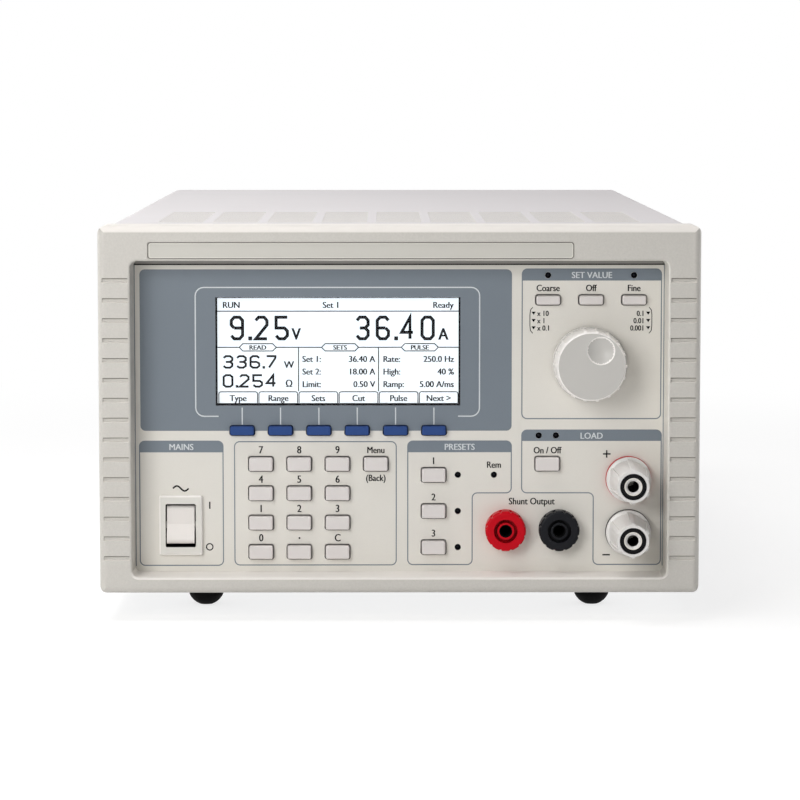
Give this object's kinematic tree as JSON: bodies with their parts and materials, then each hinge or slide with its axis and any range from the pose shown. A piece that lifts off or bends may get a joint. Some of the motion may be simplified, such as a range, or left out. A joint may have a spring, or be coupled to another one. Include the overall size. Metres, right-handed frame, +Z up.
{
  "type": "dc electronic load",
  "caption": "Bench DC electronic load: half-rack metal case with moulded bezel, recessed panel with display, keys, knob, rocker switch, screw-cap input posts and 4 mm sockets.",
  "frame": {"origin": "on the surface it stands on, under the middle of the whole outline", "axes": "+X to the right seen from the front, +Y from the front to the back, +Z up"},
  "size_m": [0.212, 0.435, 0.14],
  "materials": {
    "bezel": "fine moulded texture",
    "panel": "satin printed overlay",
    "window": "clear acrylic",
    "display": "back-lit display",
    "board": "solder resist",
    "black_moulding": "satin",
    "switch_white": "semi-gloss",
    "red_moulding": "semi-gloss",
    "post_white": "semi-gloss",
    "key_cap": "satin",
    "soft_key": "satin",
    "knob": "satin",
    "indicator": "unlit lens",
    "cover_paint": "fine textured paint",
    "plated_steel": "zinc plated",
    "nickel": "nickel plated",
    "brass_plate": "plain",
    "heatsink_metal": "extruded",
    "core_iron": "varnished",
    "foot_rubber": "matt"
  },
  "bodies": {
    "case": {"front_bezel": "bezel", "front_panel": "panel", "lcd_window": "window", "lcd_module": "display", "panel_board": "board", "key_switches": "black_moulding", "indicator_leds": "indicator", "encoder_body": "plated_steel", "switch_housing": "switch_white", "red_insulators": "red_moulding", "black_insulators": "black_moulding", "terminal_contacts": "nickel", "chassis": "plated_steel", "top_cover": "cover_paint", "rear_panel": "cover_paint", "rubber_feet": "foot_rubber", "heatsink": "heatsink_metal", "power_transistors": "black_moulding", "fan_frame": "black_moulding", "mains_inlet": "black_moulding", "interface_card": "board", "rear_insulators": "black_moulding", "rear_terminals": "brass_plate", "main_board": "board", "transformer": "core_iron", "fasteners": "plated_steel"},
    "soft_key_1": {"soft_key_1": "soft_key"},
    "soft_key_2": {"soft_key_2": "soft_key"},
    "soft_key_3": {"soft_key_3": "soft_key"},
    "soft_key_4": {"soft_key_4": "soft_key"},
    "soft_key_5": {"soft_key_5": "soft_key"},
    "soft_key_6": {"soft_key_6": "soft_key"},
    "key_7": {"key_7": "key_cap"},
    "key_8": {"key_8": "key_cap"},
    "key_9": {"key_9": "key_cap"},
    "key_4": {"key_4": "key_cap"},
    "key_5": {"key_5": "key_cap"},
    "key_6": {"key_6": "key_cap"},
    "key_1": {"key_1": "key_cap"},
    "key_2": {"key_2": "key_cap"},
    "key_3": {"key_3": "key_cap"},
    "key_0": {"key_0": "key_cap"},
    "key_point": {"key_point": "key_cap"},
    "key_clear": {"key_clear": "key_cap"},
    "home_key": {"home_key": "key_cap"},
    "adjust_level_key": {"adjust_level_key": "key_cap"},
    "adjust_off_key": {"adjust_off_key": "key_cap"},
    "adjust_pulse_key": {"adjust_pulse_key": "key_cap"},
    "level_key_c": {"level_key_c": "key_cap"},
    "level_key_b": {"level_key_b": "key_cap"},
    "level_key_a": {"level_key_a": "key_cap"},
    "input_key": {"input_key": "key_cap"},
    "knob": {"control_knob": "knob", "encoder_shaft": "plated_steel"},
    "power_rocker": {"power_rocker": "switch_white"},
    "positive_liner": {"positive_liner": "black_moulding"},
    "positive_cap": {"positive_cap": "post_white"},
    "negative_liner": {"negative_liner": "black_moulding"},
    "negative_cap": {"negative_cap": "post_white"},
    "fan_rotor": {"fan_rotor": "black_moulding"}
  },
  "joints": [
    {"name": "soft_key_1_press", "type": "slide", "parent": "case", "child": "soft_key_1", "axis": [0, 1, 0], "range_m": [0, 0.001], "stiffness_N_per_m": 200},
    {"name": "soft_key_2_press", "type": "slide", "parent": "case", "child": "soft_key_2", "axis": [0, 1, 0], "range_m": [0, 0.001], "stiffness_N_per_m": 200},
    {"name": "soft_key_3_press", "type": "slide", "parent": "case", "child": "soft_key_3", "axis": [0, 1, 0], "range_m": [0, 0.001], "stiffness_N_per_m": 200},
    {"name": "soft_key_4_press", "type": "slide", "parent": "case", "child": "soft_key_4", "axis": [0, 1, 0], "range_m": [0, 0.001], "stiffness_N_per_m": 200},
    {"name": "soft_key_5_press", "type": "slide", "parent": "case", "child": "soft_key_5", "axis": [0, 1, 0], "range_m": [0, 0.001], "stiffness_N_per_m": 200},
    {"name": "soft_key_6_press", "type": "slide", "parent": "case", "child": "soft_key_6", "axis": [0, 1, 0], "range_m": [0, 0.001], "stiffness_N_per_m": 200},
    {"name": "key_7_press", "type": "slide", "parent": "case", "child": "key_7", "axis": [0, 1, 0], "range_m": [0, 0.001], "stiffness_N_per_m": 200},
    {"name": "key_8_press", "type": "slide", "parent": "case", "child": "key_8", "axis": [0, 1, 0], "range_m": [0, 0.001], "stiffness_N_per_m": 200},
    {"name": "key_9_press", "type": "slide", "parent": "case", "child": "key_9", "axis": [0, 1, 0], "range_m": [0, 0.001], "stiffness_N_per_m": 200},
    {"name": "key_4_press", "type": "slide", "parent": "case", "child": "key_4", "axis": [0, 1, 0], "range_m": [0, 0.001], "stiffness_N_per_m": 200},
    {"name": "key_5_press", "type": "slide", "parent": "case", "child": "key_5", "axis": [0, 1, 0], "range_m": [0, 0.001], "stiffness_N_per_m": 200},
    {"name": "key_6_press", "type": "slide", "parent": "case", "child": "key_6", "axis": [0, 1, 0], "range_m": [0, 0.001], "stiffness_N_per_m": 200},
    {"name": "key_1_press", "type": "slide", "parent": "case", "child": "key_1", "axis": [0, 1, 0], "range_m": [0, 0.001], "stiffness_N_per_m": 200},
    {"name": "key_2_press", "type": "slide", "parent": "case", "child": "key_2", "axis": [0, 1, 0], "range_m": [0, 0.001], "stiffness_N_per_m": 200},
    {"name": "key_3_press", "type": "slide", "parent": "case", "child": "key_3", "axis": [0, 1, 0], "range_m": [0, 0.001], "stiffness_N_per_m": 200},
    {"name": "key_0_press", "type": "slide", "parent": "case", "child": "key_0", "axis": [0, 1, 0], "range_m": [0, 0.001], "stiffness_N_per_m": 200},
    {"name": "key_point_press", "type": "slide", "parent": "case", "child": "key_point", "axis": [0, 1, 0], "range_m": [0, 0.001], "stiffness_N_per_m": 200},
    {"name": "key_clear_press", "type": "slide", "parent": "case", "child": "key_clear", "axis": [0, 1, 0], "range_m": [0, 0.001], "stiffness_N_per_m": 200},
    {"name": "home_key_press", "type": "slide", "parent": "case", "child": "home_key", "axis": [0, 1, 0], "range_m": [0, 0.001], "stiffness_N_per_m": 200},
    {"name": "adjust_level_key_press", "type": "slide", "parent": "case", "child": "adjust_level_key", "axis": [0, 1, 0], "range_m": [0, 0.001], "stiffness_N_per_m": 200},
    {"name": "adjust_off_key_press", "type": "slide", "parent": "case", "child": "adjust_off_key", "axis": [0, 1, 0], "range_m": [0, 0.001], "stiffness_N_per_m": 200},
    {"name": "adjust_pulse_key_press", "type": "slide", "parent": "case", "child": "adjust_pulse_key", "axis": [0, 1, 0], "range_m": [0, 0.001], "stiffness_N_per_m": 200},
    {"name": "level_key_c_press", "type": "slide", "parent": "case", "child": "level_key_c", "axis": [0, 1, 0], "range_m": [0, 0.001], "stiffness_N_per_m": 200},
    {"name": "level_key_b_press", "type": "slide", "parent": "case", "child": "level_key_b", "axis": [0, 1, 0], "range_m": [0, 0.001], "stiffness_N_per_m": 200},
    {"name": "level_key_a_press", "type": "slide", "parent": "case", "child": "level_key_a", "axis": [0, 1, 0], "range_m": [0, 0.001], "stiffness_N_per_m": 200},
    {"name": "input_key_press", "type": "slide", "parent": "case", "child": "input_key", "axis": [0, 1, 0], "range_m": [0, 0.001], "stiffness_N_per_m": 200},
    {"name": "knob_turn", "type": "hinge", "parent": "case", "child": "knob", "pos_m": [0.0675, -0.2055, 0.0906], "axis": [0, -1, 0], "continuous": true},
    {"name": "rocker_tilt", "type": "hinge", "parent": "case", "child": "power_rocker", "pos_m": [-0.0779, -0.1915, 0.03275], "axis": [1, 0, 0], "range_deg": [0, 22]},
    {"name": "positive_cap_lift", "type": "slide", "parent": "case", "child": "positive_liner", "axis": [0, -1, 0], "range_m": [0, 0.0041]},
    {"name": "positive_cap_turn", "type": "hinge", "parent": "positive_liner", "child": "positive_cap", "pos_m": [0.08165, -0.2055, 0.04925], "axis": [0, -1, 0], "range_deg": [0, 1440]},
    {"name": "negative_cap_lift", "type": "slide", "parent": "case", "child": "negative_liner", "axis": [0, -1, 0], "range_m": [0, 0.0041]},
    {"name": "negative_cap_turn", "type": "hinge", "parent": "negative_liner", "child": "negative_cap", "pos_m": [0.08165, -0.2055, 0.0302], "axis": [0, -1, 0], "range_deg": [0, 1440]},
    {"name": "fan_spin", "type": "hinge", "parent": "case", "child": "fan_rotor", "pos_m": [-0.05, 0.1795, 0.076], "axis": [0, 1, 0], "continuous": true}
  ],
  "couplings": [
    {"joint": "positive_cap_lift", "follows": "positive_cap_turn", "m_per_rad": 0.00015915},
    {"joint": "negative_cap_lift", "follows": "negative_cap_turn", "m_per_rad": 0.00015915}
  ]
}
